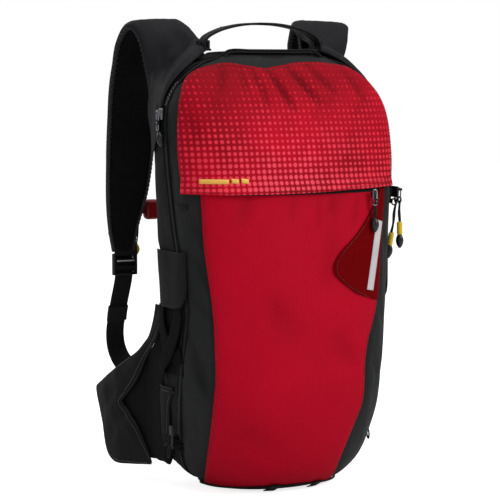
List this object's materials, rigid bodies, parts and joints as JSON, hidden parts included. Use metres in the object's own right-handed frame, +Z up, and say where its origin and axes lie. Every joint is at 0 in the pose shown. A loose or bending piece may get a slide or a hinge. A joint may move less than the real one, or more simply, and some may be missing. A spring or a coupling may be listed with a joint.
{
  "type": "avalanche airbag backpack",
  "caption": "Slim airbag backpack with a fan unit, padded harness, hip belt, grab handle, zips and a pull trigger on the left shoulder strap.",
  "frame": {"origin": "middle of the flat base, below the middle of the pack's depth", "axes": "+Z up, +Y towards the wearer's back, -Y out of the front panel, -X to the wearer's left"},
  "size_m": [0.3277, 0.3181, 0.5765],
  "materials": {
    "print_fabric": "red pack cloth with a printed dot fade",
    "red_fabric": "fine red woven pack cloth",
    "dark_fabric": "dark grey ripstop cloth",
    "strap_fabric": "smooth dark cloth over foam, mesh inside",
    "pad_foam": "black spacer mesh over foam",
    "webbing": "black woven webbing",
    "zip_tape": "black coil zip",
    "zip_metal": "black enamelled slider",
    "pull_rubber": "black moulded pull on a cord",
    "black_plastic": "black moulded acetal or nylon",
    "red_plastic": "red moulded trigger grip",
    "button_plastic": "pale push button",
    "grey_plastic": "grey glass-filled nylon",
    "seal_rubber": "soft black sealing flap",
    "board": "green circuit board",
    "cable_rubber": "black cable sheath",
    "alloy": "bent alloy stay",
    "buckle_metal": "dark coated alloy buckle",
    "steel": "plain steel"
  },
  "bodies": {
    "pack": {"front_compartment": "red_fabric", "rear_compartment": "dark_fabric", "top_panel": "print_fabric", "back_pads": "pad_foam", "frame_sheet": "grey_plastic", "frame_stays": "alloy", "intake_mesh": "black_plastic", "tool_sleeve": "dark_fabric", "folded_airbag": "dark_fabric", "airbag_collar": "dark_fabric", "fan_housing": "grey_plastic", "fan_grille": "grey_plastic", "motor_case": "grey_plastic", "motor_bearings": "steel", "battery_pack": "grey_plastic", "control_case": "grey_plastic", "control_cover": "grey_plastic", "case_screws": "steel", "circuit_board": "board", "cables": "cable_rubber", "handle_anchors": "black_plastic", "zip_chains": "zip_tape", "pocket_zip_chain": "zip_tape", "ski_carry_flaps": "dark_fabric", "strap_anchors": "webbing", "strap_webbing": "webbing"},
    "fan_rotor": {"motor_shaft": "steel", "impeller": "grey_plastic"},
    "valve_front": {"valve_flap_front": "seal_rubber"},
    "valve_rear": {"valve_flap_rear": "seal_rubber"},
    "handle": {"grab_handle": "webbing"},
    "left_zip": {"left_zip_slider": "zip_metal"},
    "left_pull": {"left_zip_pull": "pull_rubber"},
    "booster_zip": {"booster_zip_slider": "zip_metal"},
    "booster_pull": {"booster_zip_pull": "pull_rubber"},
    "main_zip": {"main_zip_slider": "zip_metal"},
    "main_pull": {"main_zip_pull": "pull_rubber"},
    "pocket_zip": {"pocket_zip_slider": "zip_metal"},
    "pocket_pull": {"pocket_zip_pull": "pull_rubber"},
    "lower_zip_left": {"lower_zip_slider_left": "zip_metal"},
    "lower_zip_right": {"lower_zip_slider_right": "zip_metal"},
    "harness": {"shoulder_strap_left": "strap_fabric", "shoulder_strap_right": "strap_fabric", "sternum_rails": "black_plastic", "trigger_housing": "black_plastic"},
    "lock_left": {"ladder_lock_left": "black_plastic"},
    "lock_right": {"ladder_lock_right": "black_plastic"},
    "sternum_strap": {"sternum_clips": "black_plastic", "sternum_webbing_left": "webbing", "sternum_buckle_socket": "black_plastic"},
    "sternum_tongue": {"sternum_webbing_right": "webbing", "sternum_buckle_tongue": "black_plastic"},
    "trigger": {"trigger_handle": "red_plastic"},
    "button": {"power_button": "button_plastic"},
    "wing_left": {"hip_wing_left": "strap_fabric", "hip_webbing_left": "webbing"},
    "wing_right": {"hip_wing_right": "strap_fabric", "hip_webbing_right": "webbing"},
    "hook": {"hip_buckle_hook": "buckle_metal"},
    "frame": {"hip_buckle_frame": "buckle_metal"}
  },
  "joints": [
    {"name": "fan_spin", "type": "hinge", "parent": "pack", "child": "fan_rotor", "pos_m": [0, 0.0352, 0.238], "axis": [0, 0, 1], "continuous": true},
    {"name": "valve_front_open", "type": "hinge", "parent": "pack", "child": "valve_front", "pos_m": [0, 0.0352, 0.275], "axis": [-1, 0, 0], "range_deg": [0, 60]},
    {"name": "valve_rear_open", "type": "hinge", "parent": "pack", "child": "valve_rear", "pos_m": [0, 0.0352, 0.275], "axis": [1, 0, 0], "range_deg": [0, 60]},
    {"name": "grab_handle_swing", "type": "hinge", "parent": "pack", "child": "handle", "pos_m": [0, 0.05, 0.5495], "axis": [1, 0, 0], "range_deg": [-35, 35]},
    {"name": "left_zip_slide", "type": "slide", "parent": "pack", "child": "left_zip", "axis": [0, -0.114, -0.9935], "range_m": [0, 0.098]},
    {"name": "left_pull_swing", "type": "hinge", "parent": "left_zip", "child": "left_pull", "pos_m": [-0.158, 0.017, 0.466], "axis": [0, 1, 0], "range_deg": [0, 110]},
    {"name": "booster_zip_slide", "type": "slide", "parent": "pack", "child": "booster_zip", "axis": [0, 0, 1], "range_m": [0, 0.08]},
    {"name": "booster_pull_swing", "type": "hinge", "parent": "booster_zip", "child": "booster_pull", "pos_m": [0.162, -0.012, 0.366], "axis": [0, -1, 0], "range_deg": [0, 110]},
    {"name": "main_zip_slide", "type": "slide", "parent": "pack", "child": "main_zip", "axis": [0, 0, 1], "range_m": [0, 0.08]},
    {"name": "main_pull_swing", "type": "hinge", "parent": "main_zip", "child": "main_pull", "pos_m": [0.16, -0.0235, 0.366], "axis": [0, -1, 0], "range_deg": [0, 110]},
    {"name": "pocket_zip_slide", "type": "hinge", "parent": "pack", "child": "pocket_zip", "pos_m": [0, 0.5534, 0.365], "axis": [0, 0, 1], "range_deg": [-18, 0]},
    {"name": "pocket_pull_swing", "type": "hinge", "parent": "pocket_zip", "child": "pocket_pull", "pos_m": [0.09808, -0.06588, 0.368], "axis": [-0.9877, -0.1564, 0], "range_deg": [0, 110]},
    {"name": "lower_zip_left_slide", "type": "slide", "parent": "pack", "child": "lower_zip_left", "axis": [0, -0.2631, 0.9648], "range_m": [0, 0.028]},
    {"name": "lower_zip_right_slide", "type": "slide", "parent": "pack", "child": "lower_zip_right", "axis": [0, -0.2631, 0.9648], "range_m": [0, 0.028]},
    {"name": "harness_swing", "type": "hinge", "parent": "pack", "child": "harness", "pos_m": [0, 0.085, 0.52], "axis": [1, 0, 0], "range_deg": [-1, 8], "deforming": ["strap_webbing"]},
    {"name": "ladder_lock_left_tilt", "type": "hinge", "parent": "harness", "child": "lock_left", "pos_m": [-0.131, 0.173, 0.28], "axis": [1, 0, 0], "range_deg": [0, 35]},
    {"name": "ladder_lock_right_tilt", "type": "hinge", "parent": "harness", "child": "lock_right", "pos_m": [0.131, 0.173, 0.28], "axis": [1, 0, 0], "range_deg": [0, 35]},
    {"name": "sternum_strap_slide", "type": "slide", "parent": "harness", "child": "sternum_strap", "axis": [0, 0.1061, -0.9944], "range_m": [-0.035, 0.035]},
    {"name": "sternum_tongue_pull", "type": "slide", "parent": "sternum_strap", "child": "sternum_tongue", "axis": [1, 0, 0], "range_m": [0, 0.022]},
    {"name": "trigger_pull", "type": "slide", "parent": "harness", "child": "trigger", "axis": [1, 0, 0], "range_m": [0, 0.015]},
    {"name": "power_button_press", "type": "slide", "parent": "harness", "child": "button", "axis": [0, -1, 0], "range_m": [0, 0.0015]},
    {"name": "hip_wing_left_swing", "type": "hinge", "parent": "pack", "child": "wing_left", "pos_m": [-0.129, 0.086, 0.129], "axis": [0, 0, -1], "range_deg": [-15, 20]},
    {"name": "hip_wing_right_swing", "type": "hinge", "parent": "pack", "child": "wing_right", "pos_m": [0.129, 0.086, 0.129], "axis": [0, 0, 1], "range_deg": [-15, 20]},
    {"name": "hip_hook_swing", "type": "hinge", "parent": "wing_left", "child": "hook", "pos_m": [-0.0894, 0.234, 0.088], "axis": [0, 0, -1], "range_deg": [-50, 50]},
    {"name": "hip_frame_swing", "type": "hinge", "parent": "wing_right", "child": "frame", "pos_m": [0.0894, 0.234, 0.088], "axis": [0, 0, 1], "range_deg": [-50, 50]}
  ],
  "couplings": [
    {"joint": "valve_rear_open", "follows": "valve_front_open", "ratio": 1}
  ]
}
